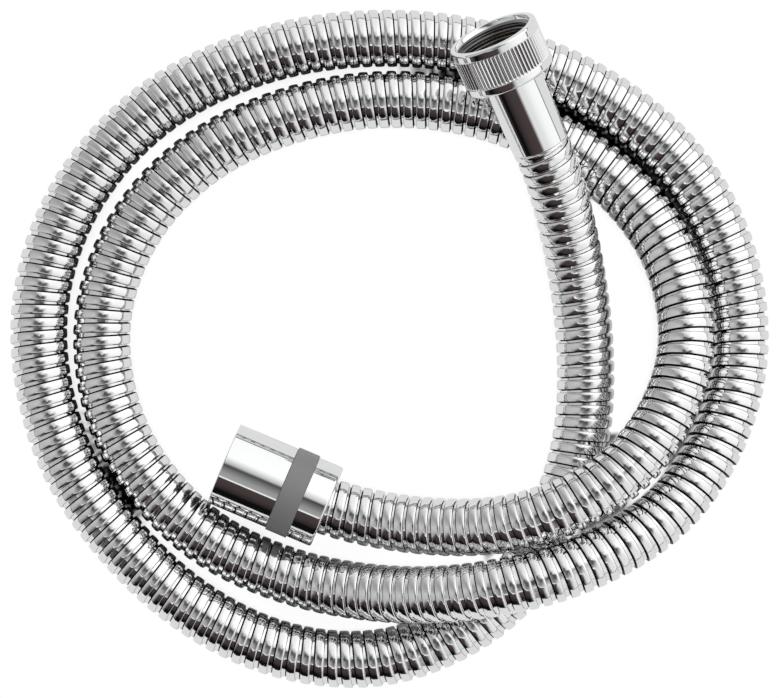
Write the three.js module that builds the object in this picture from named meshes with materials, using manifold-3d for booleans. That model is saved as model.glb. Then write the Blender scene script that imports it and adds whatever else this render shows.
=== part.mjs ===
// Shower hose: a spiral steel hose in a loose coil, with a knurled union nut on one end
// and a smooth swivel nut with a grip band on the other. Millimetres, +Z up.
import * as THREE from 'three';
import { mergeVertices } from 'three/addons/utils/BufferGeometryUtils.js';
import Module from 'manifold-3d';

const wasm = await Module();
wasm.setup();

// Hose
const CASING_RADIUS = 7.75;
const CASING_SIDES = 12;
const CASING_BORE_RADIUS = 5.9;
const TUBE_RADIUS = 5.1;
const TUBE_BORE_RADIUS = 4.3;
const BORE_SIDES = 8;
const HOSE_STEPS = 80;
const FACE_GAP = 0.3;

// Fittings: the centre of each mouth, and the way its axis runs from the mouth into the hose
const KNURLED_MOUTH = new THREE.Vector3(27.0, 83.3, 35.6);
const KNURLED_HEADING = -64.8;
const KNURLED_FALL = 20.0;
const SWIVEL_MOUTH = new THREE.Vector3(-44.7, -31.0, 12.1);
const SWIVEL_HEADING = -23.0;
const SWIVEL_FALL = 0.0;

// Knurled union nut, measured from its mouth
const KNURLED_NUT_RADIUS = 12.25;
const KNURLED_NUT_LENGTH = 13.0;
const KNURL_START = 2.4;
const KNURL_END = 10.6;
const KNURL_DEPTH = 0.35;
const KNURL_SINK = 0.05;
const KNURL_FLUTES = 68;
const KNURL_CREST_SHARE = 0.55;
const KNURL_RING_THICKNESS = 1.0;
const KNURL_INTO_BAND = 0.3;
const KNURLED_NECK_HOLE_RADIUS = 6.1;
const KNURLED_SHOULDER = 11.4;

// The pipe thread is half-inch parallel, so the bore is its minor diameter
const THREAD_BORE_RADIUS = 9.4;
const MOUTH_RADIUS = 10.6;
const MOUTH_DEPTH = 1.2;
const MOUTH_CONE_END = 1.9;
const MOUTH_EDGE = 0.2;
const EDGE_ROUND = 0.75;

// Pieces inside the knurled end, measured from its mouth
const KNURLED_WASHER = { inner: 5.5, outer: 9.0, start: 6.9, end: 8.7 };
const KNURLED_SLIDE_RING = { inner: 6.1, outer: 8.9, start: 10.5, end: 11.1 };
const CLAMP_RING = { inner: 5.5, outer: 6.3, start: 21.0, end: 29.0 };
const KNURLED_STEM = {
  flangeRadius: 9.0,
  flangeStart: 9.0,
  flangeEnd: 10.2,
  neckRadius: 5.7,
  neckEnd: 15.4,
  shankRadius: 4.4,
  shankEnd: 18.2,
  rootRadius: 3.2,
  ridgeRadius: 3.6,
  ridges: 4,
  ridgePitch: 3.1,
  tipRadius: 3.0,
  end: 31.2,
  wayRadius: 4.6,
  wayEnd: 10.8,
  boreRadius: 2.4,
  boreStart: 13.5,
};

// Sleeve over the knurled end
const SLEEVE_START = 13.4;
const SLEEVE_END = 33.4;
const SLEEVE_FRONT_RADIUS = 8.0;
const SLEEVE_REAR_RADIUS = 7.8;
const SLEEVE_BORE_RADIUS = 7.0;
const SLEEVE_FRONT_HOLE_RADIUS = 6.0;
const SLEEVE_WALL_END = 14.9;
const SLEEVE_STRAIGHT = 4.0;
const SLEEVE_FRONT_EDGE = 0.4;
const SLEEVE_REAR_EDGE = 0.2;

// Smooth swivel nut and its grip band, measured from the mouth
const SWIVEL_NUT_RADIUS = 11.5;
const SWIVEL_NUT_LENGTH = 30.2;
const SWIVEL_NUT_EDGE = 0.25;
const SWIVEL_SKIRT_RADIUS = 9.9;
const SWIVEL_WEB_START = 12.2;
const SWIVEL_WEB_END = 13.8;
const SWIVEL_WEB_HOLE_RADIUS = 7.7;
const BAND_RADIUS = 12.0;
const BAND_SEAT_RADIUS = 10.9;
const BAND_START = 17.0;
const BAND_END = 23.2;
const BAND_SIDE_GAP = 0.15;
const BAND_EDGE = 0.2;
const SWIVEL_CASING_START = 22.7;
const SWIVEL_EXIT = 31.0;

// Pieces inside the swivel nut, measured from its mouth
const SWIVEL_WASHER = { inner: 5.6, outer: 9.0, start: 7.2, end: 9.2 };
const SWIVEL_SLIDE_RING = { inner: 7.7, outer: 9.0, start: 11.3, end: 11.9 };
const BUSH = {
  flangeRadius: 9.0,
  flangeEnd: 11.0,
  radius: 7.3,
  start: 9.5,
  end: 20.0,
  seatRadius: 5.9,
  seatEnd: 11.3,
  boreRadius: 4.9,
};
const SWIVEL_STEM = {
  headRadius: 5.6,
  start: 9.7,
  headEnd: 10.9,
  barrelRadius: 4.6,
  frontGroove: 12.6,
  rearGroove: 15.8,
  grooveWidth: 1.6,
  grooveRadius: 3.4,
  clipGroove: 20.2,
  clipGrooveWidth: 1.0,
  clipGrooveRadius: 3.9,
  barrelEnd: 22.6,
  rootRadius: 2.8,
  ridgeRadius: 3.1,
  ridges: 3,
  ridgePitch: 2.1,
  tipRadius: 2.6,
  end: 29.4,
  boreRadius: 2.1,
};
const BARB_RISE = 0.4;
const O_RING = { radius: 4.15, section: 0.55, sides: 6 };
const CLIP = { inner: 4.15, outer: 6.0, start: 20.4, thickness: 0.6, openingDegrees: 55, segments: 18 };
const FERRULE = { hole: 4.9, outer: 9.1, start: 21.4, wallEnd: 22.4, skirtInner: 8.35, end: 28.6, edge: 0.1 };

// Centreline of the hose between its fittings, from the knurled end to the swivel end
const HOSE_ROUTE = [
  [46.6, 38.2, 17.9], [50.9, 19.6, 11.8], [53.2, 0.8, 8.7], [53.1, -17.9, 7.8], [50.2, -33.4, 7.8],
  [42.9, -50.8, 7.8], [33.4, -65.6, 7.8], [19.2, -76.5, 7.8], [-2.6, -84.2, 7.8], [-29.8, -81.8, 7.8],
  [-55.0, -69.2, 7.8], [-76.7, -47.9, 7.8], [-90.1, -25.0, 7.8], [-95.5, 7.9, 7.8], [-86.8, 39.0, 7.8],
  [-65.5, 64.4, 7.8], [-36.6, 79.2, 7.8], [-5.3, 84.5, 7.8], [26.6, 81.5, 7.8], [55.3, 70.1, 7.8],
  [78.3, 51.4, 7.8], [91.7, 27.2, 7.8], [95.4, -0.3, 8.6], [89.3, -23.6, 12.4], [74.8, -44.2, 17.6],
  [49.8, -58.4, 23.2], [29.2, -63.8, 23.9], [10.5, -66.2, 19.4], [-8.0, -65.6, 12.4], [-26.6, -62.0, 8.4],
  [-49.2, -51.7, 7.8], [-66.7, -34.1, 7.8], [-76.1, -15.0, 7.8], [-78.0, 10.6, 7.8], [-68.4, 34.8, 7.8],
  [-50.2, 53.0, 7.8], [-27.0, 63.7, 7.8], [-2.6, 68.0, 7.8], [21.9, 65.8, 7.8], [43.6, 57.9, 7.9],
  [62.2, 45.0, 9.4], [76.0, 25.5, 13.0], [80.4, 3.0, 16.8], [76.6, -13.0, 19.8], [66.6, -29.0, 22.8],
  [52.0, -40.0, 24.2], [33.0, -46.8, 22.6], [14.0, -48.1, 17.0], [-4.0, -46.1, 12.6],
];
const STRAIGHT_OUT_OF_SLEEVE = 8.0;

// Number of flat facets on turned pieces
const NUT_FACETS = 48;
const PIECE_FACETS = 32;
const SMALL_FACETS = 20;
const CURVE_DIVISIONS = 2400;
const WELD = 1e-4;

const chrome = new THREE.MeshStandardMaterial({ color: 0xd9dbdd, roughness: 0.08, metalness: 1.0 });
const chromedStrip = new THREE.MeshStandardMaterial({ color: 0xcfd1d3, roughness: 0.14, metalness: 1.0 });
const greyGrip = new THREE.MeshStandardMaterial({ color: 0x6f6f6f, roughness: 0.6, metalness: 0.0 });
const brass = new THREE.MeshStandardMaterial({ color: 0xb89a5e, roughness: 0.35, metalness: 1.0 });
const springSteel = new THREE.MeshStandardMaterial({ color: 0x9a9b9d, roughness: 0.3, metalness: 1.0 });
const blackRubber = new THREE.MeshStandardMaterial({ color: 0x1b1b1c, roughness: 0.8, metalness: 0.0 });
const linerRubber = new THREE.MeshStandardMaterial({ color: 0x2b2b2d, roughness: 0.7, metalness: 0.0 });
const nylon = new THREE.MeshStandardMaterial({ color: 0xe6e3da, roughness: 0.5, metalness: 0.0 });

function namedMesh(name, geometry, material) {
  const mesh = new THREE.Mesh(geometry, material);
  mesh.name = name;
  return mesh;
}

// A turned ring: its section is a closed list of [radius, distance from the mouth]
function turned(section, facets) {
  const points = section.map(([radius, along]) => new THREE.Vector2(radius, along));
  points.push(points[0].clone());
  return new THREE.LatheGeometry(points, facets);
}

function washer({ inner, outer, start, end }) {
  return turned([[inner, start], [outer, start], [outer, end], [inner, end]], SMALL_FACETS);
}

function polygonPoints(radius, sides) {
  const points = [];
  for (let i = 0; i < sides; i += 1) {
    const angle = (2 * Math.PI * i) / sides;
    points.push(new THREE.Vector2(radius * Math.cos(angle), radius * Math.sin(angle)));
  }
  return points;
}

function toSolid(geometry) {
  const bare = geometry.clone();
  bare.deleteAttribute('normal');
  bare.deleteAttribute('uv');
  const merged = mergeVertices(bare, WELD);
  const mesh = new wasm.Mesh({
    numProp: 3,
    vertProperties: new Float32Array(merged.attributes.position.array),
    triVerts: new Uint32Array(merged.index.array),
  });
  return new wasm.Manifold(mesh);
}

function toGeometry(solid) {
  const mesh = solid.getMesh();
  const geometry = new THREE.BufferGeometry();
  geometry.setAttribute('position', new THREE.BufferAttribute(mesh.vertProperties, 3));
  geometry.setIndex(new THREE.BufferAttribute(mesh.triVerts, 1));
  geometry.computeVertexNormals();
  return geometry;
}

// Direction of a fitting's axis from its mouth into the hose
function fittingAxis(heading, fall) {
  const turn = THREE.MathUtils.degToRad(heading);
  const drop = THREE.MathUtils.degToRad(fall);
  return new THREE.Vector3(
    Math.cos(turn) * Math.cos(drop),
    Math.sin(turn) * Math.cos(drop),
    -Math.sin(drop),
  );
}

// A group whose own +Y runs from the mouth into the hose, as the turned sections do
function fittingGroup(mouth, axis) {
  const group = new THREE.Group();
  group.position.copy(mouth);
  group.quaternion.setFromUnitVectors(new THREE.Vector3(0, 1, 0), axis);
  return group;
}

const knurledAxis = fittingAxis(KNURLED_HEADING, KNURLED_FALL);
const swivelAxis = fittingAxis(SWIVEL_HEADING, SWIVEL_FALL);

function pointOnAxis(mouth, axis, along) {
  return mouth.clone().addScaledVector(axis, along);
}

// Hose: the same smooth curve carries the steel casing and the rubber tube inside it
function hoseCurve(extraAtSleeve) {
  const sleeveFace = SLEEVE_END + FACE_GAP;
  const points = [
    pointOnAxis(KNURLED_MOUTH, knurledAxis, sleeveFace),
    pointOnAxis(KNURLED_MOUTH, knurledAxis, sleeveFace + STRAIGHT_OUT_OF_SLEEVE),
    ...HOSE_ROUTE.map(([x, y, z]) => new THREE.Vector3(x, y, z)),
    pointOnAxis(SWIVEL_MOUTH, swivelAxis, SWIVEL_EXIT),
    pointOnAxis(SWIVEL_MOUTH, swivelAxis, SWIVEL_CASING_START),
  ];
  if (extraAtSleeve > 0) {
    points.unshift(pointOnAxis(KNURLED_MOUTH, knurledAxis, sleeveFace - extraAtSleeve));
  }
  const curve = new THREE.CatmullRomCurve3(points, false, 'centripetal');
  curve.arcLengthDivisions = CURVE_DIVISIONS;
  return curve;
}

function hoseSolid(curve, steps, outerRadius, outerSides, boreRadius, boreSides) {
  const section = new THREE.Shape(polygonPoints(outerRadius, outerSides));
  section.holes.push(new THREE.Path(polygonPoints(boreRadius, boreSides)));
  return new THREE.ExtrudeGeometry(section, { steps, extrudePath: curve, bevelEnabled: false });
}

const casingCurve = hoseCurve(0);
const stepLength = casingCurve.getLength() / HOSE_STEPS;

const spiralCasing = namedMesh(
  'spiral_casing',
  hoseSolid(casingCurve, HOSE_STEPS, CASING_RADIUS, CASING_SIDES, CASING_BORE_RADIUS, BORE_SIDES),
  chromedStrip,
);

// The tube runs one step further than the casing, up inside the sleeve
const innerTube = namedMesh(
  'inner_tube',
  hoseSolid(hoseCurve(stepLength), HOSE_STEPS + 1, TUBE_RADIUS, BORE_SIDES, TUBE_BORE_RADIUS, BORE_SIDES),
  linerRubber,
);

// Knurled union nut: a turned body with a fluted ring around its middle
function flutedRing() {
  const pitch = (2 * Math.PI) / KNURL_FLUTES;
  const crestRadius = KNURLED_NUT_RADIUS - KNURL_SINK;
  const rootRadius = crestRadius - KNURL_DEPTH;
  const outline = [];
  for (let i = 0; i < KNURL_FLUTES; i += 1) {
    const angle = i * pitch;
    const crestEnd = angle + KNURL_CREST_SHARE * pitch;
    const valley = angle + (1 + KNURL_CREST_SHARE) * 0.5 * pitch;
    for (const [radius, at] of [
      [crestRadius, angle],
      [crestRadius, crestEnd],
      [rootRadius, valley],
    ]) {
      outline.push(new THREE.Vector2(radius * Math.cos(at), radius * Math.sin(at)));
    }
  }
  const shape = new THREE.Shape(outline);
  shape.holes.push(new THREE.Path(polygonPoints(rootRadius - KNURL_RING_THICKNESS, KNURL_FLUTES / 2)));
  const ring = new THREE.ExtrudeGeometry(shape, {
    depth: KNURL_END - KNURL_START + 2 * KNURL_INTO_BAND,
    bevelEnabled: false,
  });
  ring.rotateX(-Math.PI / 2);
  ring.translate(0, KNURL_START - KNURL_INTO_BAND, 0);
  return ring;
}

// Half of a rounded outer corner, for a turned section that runs round it
function roundedCorner(radius, face, inward) {
  return [
    [radius - EDGE_ROUND, face],
    [radius - 0.3 * EDGE_ROUND, face + 0.25 * inward * EDGE_ROUND],
    [radius, face + inward * EDGE_ROUND],
  ];
}

function knurledNutGeometry() {
  const radius = KNURLED_NUT_RADIUS;
  const root = radius - KNURL_DEPTH - 3 * KNURL_SINK;
  const body = turned([
    [MOUTH_RADIUS + MOUTH_EDGE, 0],
    ...roundedCorner(radius, 0, 1),
    [radius, KNURL_START],
    [root, KNURL_START],
    [root, KNURL_END],
    [radius, KNURL_END],
    ...roundedCorner(radius, KNURLED_NUT_LENGTH, -1).reverse(),
    [KNURLED_NECK_HOLE_RADIUS, KNURLED_NUT_LENGTH],
    [KNURLED_NECK_HOLE_RADIUS, KNURLED_SHOULDER],
    [THREAD_BORE_RADIUS, KNURLED_SHOULDER],
    [THREAD_BORE_RADIUS, MOUTH_CONE_END],
    [MOUTH_RADIUS, MOUTH_DEPTH],
    [MOUTH_RADIUS, MOUTH_EDGE],
  ], NUT_FACETS);
  return toGeometry(toSolid(body).add(toSolid(flutedRing())));
}

// Tail of the knurled end: a flanged brass stem whose barbs hold the tube
function barbs(rootRadius, ridgeRadius, start, count, pitch) {
  const points = [];
  for (let i = 0; i < count; i += 1) {
    const along = start + i * pitch;
    points.push([rootRadius, along]);
    points.push([ridgeRadius, along + BARB_RISE]);
  }
  points.push([rootRadius, start + count * pitch]);
  return points;
}

function knurledStemGeometry() {
  const stem = KNURLED_STEM;
  return turned([
    [stem.wayRadius, stem.flangeStart],
    [stem.flangeRadius, stem.flangeStart],
    [stem.flangeRadius, stem.flangeEnd],
    [stem.neckRadius, stem.flangeEnd],
    [stem.neckRadius, stem.neckEnd],
    [stem.shankRadius, stem.neckEnd],
    [stem.shankRadius, stem.shankEnd],
    ...barbs(stem.rootRadius, stem.ridgeRadius, stem.shankEnd, stem.ridges, stem.ridgePitch),
    [stem.tipRadius, stem.end],
    [stem.boreRadius, stem.end],
    [stem.boreRadius, stem.boreStart],
    [stem.wayRadius, stem.wayEnd],
  ], SMALL_FACETS);
}

function knurledSleeveGeometry() {
  return turned([
    [SLEEVE_FRONT_HOLE_RADIUS, SLEEVE_START],
    [SLEEVE_FRONT_RADIUS - SLEEVE_FRONT_EDGE, SLEEVE_START],
    [SLEEVE_FRONT_RADIUS, SLEEVE_START + SLEEVE_FRONT_EDGE],
    [SLEEVE_FRONT_RADIUS, SLEEVE_START + SLEEVE_STRAIGHT],
    [SLEEVE_REAR_RADIUS, SLEEVE_END - SLEEVE_REAR_EDGE],
    [SLEEVE_REAR_RADIUS - SLEEVE_REAR_EDGE, SLEEVE_END],
    [SLEEVE_BORE_RADIUS, SLEEVE_END],
    [SLEEVE_BORE_RADIUS, SLEEVE_WALL_END],
    [SLEEVE_FRONT_HOLE_RADIUS, SLEEVE_WALL_END],
  ], PIECE_FACETS);
}

const knurledEnd = fittingGroup(KNURLED_MOUTH, knurledAxis);
knurledEnd.add(
  namedMesh('knurled_nut', knurledNutGeometry(), chrome),
  namedMesh('knurled_nut_washer', washer(KNURLED_WASHER), blackRubber),
  namedMesh('knurled_slide_ring', washer(KNURLED_SLIDE_RING), nylon),
  namedMesh('knurled_end_stem', knurledStemGeometry(), brass),
  namedMesh('knurled_end_sleeve', knurledSleeveGeometry(), chrome),
  namedMesh('knurled_end_clamp_ring', washer(CLAMP_RING), springSteel),
);

// Swivel end: the nut turns on a bush, and the bush turns on the stem that holds the hose
function swivelNutGeometry() {
  const radius = SWIVEL_NUT_RADIUS;
  return turned([
    [MOUTH_RADIUS + MOUTH_EDGE, 0],
    [radius - SWIVEL_NUT_EDGE, 0],
    [radius, SWIVEL_NUT_EDGE],
    [radius, BAND_START],
    [BAND_SEAT_RADIUS, BAND_START],
    [BAND_SEAT_RADIUS, BAND_END],
    [radius, BAND_END],
    ...roundedCorner(radius, SWIVEL_NUT_LENGTH, -1).reverse(),
    [SWIVEL_SKIRT_RADIUS, SWIVEL_NUT_LENGTH],
    [SWIVEL_SKIRT_RADIUS, SWIVEL_WEB_END],
    [SWIVEL_WEB_HOLE_RADIUS, SWIVEL_WEB_END],
    [SWIVEL_WEB_HOLE_RADIUS, SWIVEL_WEB_START],
    [THREAD_BORE_RADIUS, SWIVEL_WEB_START],
    [THREAD_BORE_RADIUS, MOUTH_CONE_END],
    [MOUTH_RADIUS, MOUTH_DEPTH],
    [MOUTH_RADIUS, MOUTH_EDGE],
  ], NUT_FACETS);
}

function gripBandGeometry() {
  const start = BAND_START + BAND_SIDE_GAP;
  const end = BAND_END - BAND_SIDE_GAP;
  const inner = BAND_SEAT_RADIUS + FACE_GAP;
  return turned([
    [inner, start],
    [BAND_RADIUS - BAND_EDGE, start],
    [BAND_RADIUS, start + BAND_EDGE],
    [BAND_RADIUS, end - BAND_EDGE],
    [BAND_RADIUS - BAND_EDGE, end],
    [inner, end],
  ], NUT_FACETS);
}

function swivelBushGeometry() {
  return turned([
    [BUSH.seatRadius, BUSH.start],
    [BUSH.flangeRadius, BUSH.start],
    [BUSH.flangeRadius, BUSH.flangeEnd],
    [BUSH.radius, BUSH.flangeEnd],
    [BUSH.radius, BUSH.end],
    [BUSH.boreRadius, BUSH.end],
    [BUSH.boreRadius, BUSH.seatEnd],
    [BUSH.seatRadius, BUSH.seatEnd],
  ], PIECE_FACETS);
}

// A square groove cut into a barrel
function groove(barrelRadius, grooveRadius, start, width) {
  return [
    [barrelRadius, start],
    [grooveRadius, start],
    [grooveRadius, start + width],
    [barrelRadius, start + width],
  ];
}

function swivelStemGeometry() {
  const stem = SWIVEL_STEM;
  return turned([
    [stem.boreRadius, stem.start],
    [stem.headRadius, stem.start],
    [stem.headRadius, stem.headEnd],
    [stem.barrelRadius, stem.headEnd],
    ...groove(stem.barrelRadius, stem.grooveRadius, stem.frontGroove, stem.grooveWidth),
    ...groove(stem.barrelRadius, stem.grooveRadius, stem.rearGroove, stem.grooveWidth),
    ...groove(stem.barrelRadius, stem.clipGrooveRadius, stem.clipGroove, stem.clipGrooveWidth),
    [stem.barrelRadius, stem.barrelEnd],
    ...barbs(stem.rootRadius, stem.ridgeRadius, stem.barrelEnd, stem.ridges, stem.ridgePitch),
    [stem.tipRadius, stem.end],
    [stem.boreRadius, stem.end],
  ], SMALL_FACETS);
}

function sealRing(grooveStart) {
  const ring = new THREE.TorusGeometry(O_RING.radius, O_RING.section, O_RING.sides, SMALL_FACETS);
  ring.rotateX(Math.PI / 2);
  ring.translate(0, grooveStart + SWIVEL_STEM.grooveWidth / 2, 0);
  return ring;
}

// An open spring clip that snaps into the stem's groove behind the bush
function retainingClipGeometry() {
  const halfOpening = THREE.MathUtils.degToRad(CLIP.openingDegrees) / 2;
  const shape = new THREE.Shape();
  shape.absarc(0, 0, CLIP.outer, halfOpening, 2 * Math.PI - halfOpening, false);
  shape.absarc(0, 0, CLIP.inner, 2 * Math.PI - halfOpening, halfOpening, true);
  const clip = new THREE.ExtrudeGeometry(shape, {
    depth: CLIP.thickness,
    bevelEnabled: false,
    curveSegments: CLIP.segments,
  });
  clip.rotateX(-Math.PI / 2);
  clip.translate(0, CLIP.start, 0);
  return clip;
}

function swivelFerruleGeometry() {
  return turned([
    [FERRULE.hole, FERRULE.start],
    [FERRULE.outer - FERRULE.edge, FERRULE.start],
    [FERRULE.outer, FERRULE.start + FERRULE.edge],
    [FERRULE.outer, FERRULE.end],
    [FERRULE.skirtInner, FERRULE.end],
    [FERRULE.skirtInner, FERRULE.wallEnd],
    [FERRULE.hole, FERRULE.wallEnd],
  ], PIECE_FACETS);
}

const swivelEnd = fittingGroup(SWIVEL_MOUTH, swivelAxis);
swivelEnd.add(
  namedMesh('swivel_nut', swivelNutGeometry(), chrome),
  namedMesh('grip_band', gripBandGeometry(), greyGrip),
  namedMesh('swivel_nut_washer', washer(SWIVEL_WASHER), blackRubber),
  namedMesh('swivel_slide_ring', washer(SWIVEL_SLIDE_RING), nylon),
  namedMesh('swivel_bush', swivelBushGeometry(), brass),
  namedMesh('swivel_stem', swivelStemGeometry(), brass),
  namedMesh('swivel_o_ring_front', sealRing(SWIVEL_STEM.frontGroove), blackRubber),
  namedMesh('swivel_o_ring_rear', sealRing(SWIVEL_STEM.rearGroove), blackRubber),
  namedMesh('swivel_retaining_clip', retainingClipGeometry(), springSteel),
  namedMesh('swivel_end_ferrule', swivelFerruleGeometry(), chrome),
);

const showerHose = new THREE.Group();
showerHose.add(spiralCasing, innerTube, knurledEnd, swivelEnd);

export default showerHose;
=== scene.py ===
import math
import bpy
import numpy as np
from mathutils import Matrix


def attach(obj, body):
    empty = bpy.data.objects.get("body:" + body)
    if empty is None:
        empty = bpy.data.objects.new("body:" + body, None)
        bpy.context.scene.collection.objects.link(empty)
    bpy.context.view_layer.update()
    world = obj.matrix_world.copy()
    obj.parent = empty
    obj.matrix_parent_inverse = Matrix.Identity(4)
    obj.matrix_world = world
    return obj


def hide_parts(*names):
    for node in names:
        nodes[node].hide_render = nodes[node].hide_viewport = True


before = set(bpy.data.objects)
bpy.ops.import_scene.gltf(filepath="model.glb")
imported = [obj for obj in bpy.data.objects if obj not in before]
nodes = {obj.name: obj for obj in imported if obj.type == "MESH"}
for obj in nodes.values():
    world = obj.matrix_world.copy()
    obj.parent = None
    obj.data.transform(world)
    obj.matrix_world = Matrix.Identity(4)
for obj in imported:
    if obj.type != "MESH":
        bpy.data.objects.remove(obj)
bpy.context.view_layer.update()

# Camera
# The hose lies on a table and is looked at from straight above, a metre over the middle of the
# coil. The long lens takes in 213.4 mm of the table across the picture.
CAMERA_HEIGHT = 1.0
PICTURE_WIDTH_ON_TABLE = 0.2134
SENSOR_WIDTH = 36.0

camera_data = bpy.data.cameras.new("camera")
camera_data.sensor_width = SENSOR_WIDTH
camera_data.lens = SENSOR_WIDTH * CAMERA_HEIGHT / PICTURE_WIDTH_ON_TABLE
camera_data.clip_start = 0.01
camera_data.clip_end = 50.0
camera = bpy.data.objects.new("camera", camera_data)
camera.location = (0.0, 0.0, CAMERA_HEIGHT)
bpy.context.scene.collection.objects.link(camera)
bpy.context.scene.camera = camera

# Spiral casing
# A bright chromed steel strip, rolled to a stepped section and wound in a right-hand helix so that
# the lip of each turn hooks over the recessed foot of the next. It slides on itself where the hose
# bends: each turn keeps its width, and the recess beside it opens on the outside of the bend.
KNURLED_MOUTH = np.array([0.0270, 0.0833, 0.0356])
KNURLED_HEADING, KNURLED_FALL = math.radians(-64.8), math.radians(20.0)
SWIVEL_MOUTH = np.array([-0.0447, -0.0310, 0.0121])
SWIVEL_HEADING, SWIVEL_FALL = math.radians(-23.0), 0.0
SLEEVE_END = 0.0334
CASING_FROM_KNURLED_MOUTH = 0.0337
STRAIGHT_OUT_OF_SLEEVE = 0.008
SWIVEL_EXIT = 0.0310
CASING_FROM_SWIVEL_MOUTH = 0.0227
HOSE_ROUTE = [
    (0.0466, 0.0382, 0.0179), (0.0509, 0.0196, 0.0118), (0.0532, 0.0008, 0.0087),
    (0.0531, -0.0179, 0.0078), (0.0502, -0.0334, 0.0078), (0.0429, -0.0508, 0.0078),
    (0.0334, -0.0656, 0.0078), (0.0192, -0.0765, 0.0078), (-0.0026, -0.0842, 0.0078),
    (-0.0298, -0.0818, 0.0078), (-0.0550, -0.0692, 0.0078), (-0.0767, -0.0479, 0.0078),
    (-0.0901, -0.0250, 0.0078), (-0.0955, 0.0079, 0.0078), (-0.0868, 0.0390, 0.0078),
    (-0.0655, 0.0644, 0.0078), (-0.0366, 0.0792, 0.0078), (-0.0053, 0.0845, 0.0078),
    (0.0266, 0.0815, 0.0078), (0.0553, 0.0701, 0.0078), (0.0783, 0.0514, 0.0078),
    (0.0917, 0.0272, 0.0078), (0.0954, -0.0003, 0.0086), (0.0893, -0.0236, 0.0124),
    (0.0748, -0.0442, 0.0176), (0.0498, -0.0584, 0.0232), (0.0292, -0.0638, 0.0239),
    (0.0105, -0.0662, 0.0194), (-0.0080, -0.0656, 0.0124), (-0.0266, -0.0620, 0.0084),
    (-0.0492, -0.0517, 0.0078), (-0.0667, -0.0341, 0.0078), (-0.0761, -0.0150, 0.0078),
    (-0.0780, 0.0106, 0.0078), (-0.0684, 0.0348, 0.0078), (-0.0502, 0.0530, 0.0078),
    (-0.0270, 0.0637, 0.0078), (-0.0026, 0.0680, 0.0078), (0.0219, 0.0658, 0.0078),
    (0.0436, 0.0579, 0.0079), (0.0622, 0.0450, 0.0094), (0.0760, 0.0255, 0.0130),
    (0.0804, 0.0030, 0.0168), (0.0766, -0.0130, 0.0198), (0.0666, -0.0290, 0.0228),
    (0.0520, -0.0400, 0.0242), (0.0330, -0.0468, 0.0226), (0.0140, -0.0481, 0.0170),
    (-0.0040, -0.0461, 0.0126),
]
HOSE_DIAMETER = 0.0155
STEPS_BETWEEN_POINTS = 40
LINE_STEP = 0.0005
BEND_SMOOTHING = 0.006


def fitting_axis(heading, fall):
    """Unit vector from a fitting's mouth into the hose: level heading, tipped down by the fall."""
    return np.array([
        math.cos(heading) * math.cos(fall), math.sin(heading) * math.cos(fall), -math.sin(fall),
    ])


def curve_through(points, per_span):
    """Centripetal curve through the points: each span blends its four neighbouring points in a
    straight line, three times over, with knots a square root of the distance apart."""
    ends = np.vstack([2 * points[0] - points[1], points, 2 * points[-1] - points[-2]])
    apart = np.sqrt(np.linalg.norm(np.diff(ends, axis=0), axis=1))
    knots = np.concatenate([[0.0], np.cumsum(apart)])
    spans = len(points) - 1
    p0, p1, p2, p3 = (ends[k:k + spans, None] for k in range(4))
    t0, t1, t2, t3 = (knots[k:k + spans, None, None] for k in range(4))
    t = t1 + (t2 - t1) * np.linspace(0, 1, per_span, endpoint=False)[None, :, None]

    def between(a, b, ta, tb):
        return ((tb - t) * a + (t - ta) * b) / (tb - ta)

    a1, a2, a3 = between(p0, p1, t0, t1), between(p1, p2, t1, t2), between(p2, p3, t2, t3)
    b1, b2 = between(a1, a2, t0, t2), between(a2, a3, t1, t3)
    return np.vstack([between(b1, b2, t1, t2).reshape(-1, 3), points[-1:]])


def along_length(line, step):
    """The line's points again, a constant distance apart, and its length."""
    reach = np.concatenate([[0.0], np.cumsum(np.linalg.norm(np.diff(line, axis=0), axis=1))])
    wanted = np.linspace(0.0, reach[-1], int(round(reach[-1] / step)) + 1)
    return np.stack([np.interp(wanted, reach, line[:, k]) for k in range(3)], axis=1), reach[-1]


def evened(line, width, step):
    """The line averaged over a bell-shaped window of that width, mirrored through its ends so that
    they and their directions stay."""
    reach = int(round(4 * width / step))
    bell = np.exp(-0.5 * (np.arange(-reach, reach + 1) * step / width) ** 2)
    bell /= bell.sum()
    before = 2 * line[0] - line[reach:0:-1]
    after = 2 * line[-1] - line[-2:-reach - 2:-1]
    longer = np.vstack([before, line, after])
    return np.stack([np.convolve(longer[:, k], bell, mode="valid") for k in range(3)], axis=1)


knurled_axis = fitting_axis(KNURLED_HEADING, KNURLED_FALL)
swivel_axis = fitting_axis(SWIVEL_HEADING, SWIVEL_FALL)
route = np.vstack([
    KNURLED_MOUTH + knurled_axis * CASING_FROM_KNURLED_MOUTH,
    KNURLED_MOUTH + knurled_axis * (CASING_FROM_KNURLED_MOUTH + STRAIGHT_OUT_OF_SLEEVE),
    np.array(HOSE_ROUTE),
    SWIVEL_MOUTH + swivel_axis * SWIVEL_EXIT,
    SWIVEL_MOUTH + swivel_axis * CASING_FROM_SWIVEL_MOUTH,
])
rough_line = along_length(curve_through(route, STEPS_BETWEEN_POINTS), LINE_STEP)[0]
hose_line, hose_length = along_length(evened(rough_line, BEND_SMOOTHING, LINE_STEP), LINE_STEP)

STRIP_TURNS = 336
STEPS_AROUND = 26
PITCH = hose_length / STRIP_TURNS
CASING_BORE = 0.0059
# Beyond the hose's two ends the strip is squeezed flat, and drawn in to go under the fittings
STRIP_START = -0.00015
END_SQUEEZE = 0.03
END_KEPT, END_DRAWN_IN = 0.0003, 0.0006
END_RADIUS = 0.00685
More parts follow.
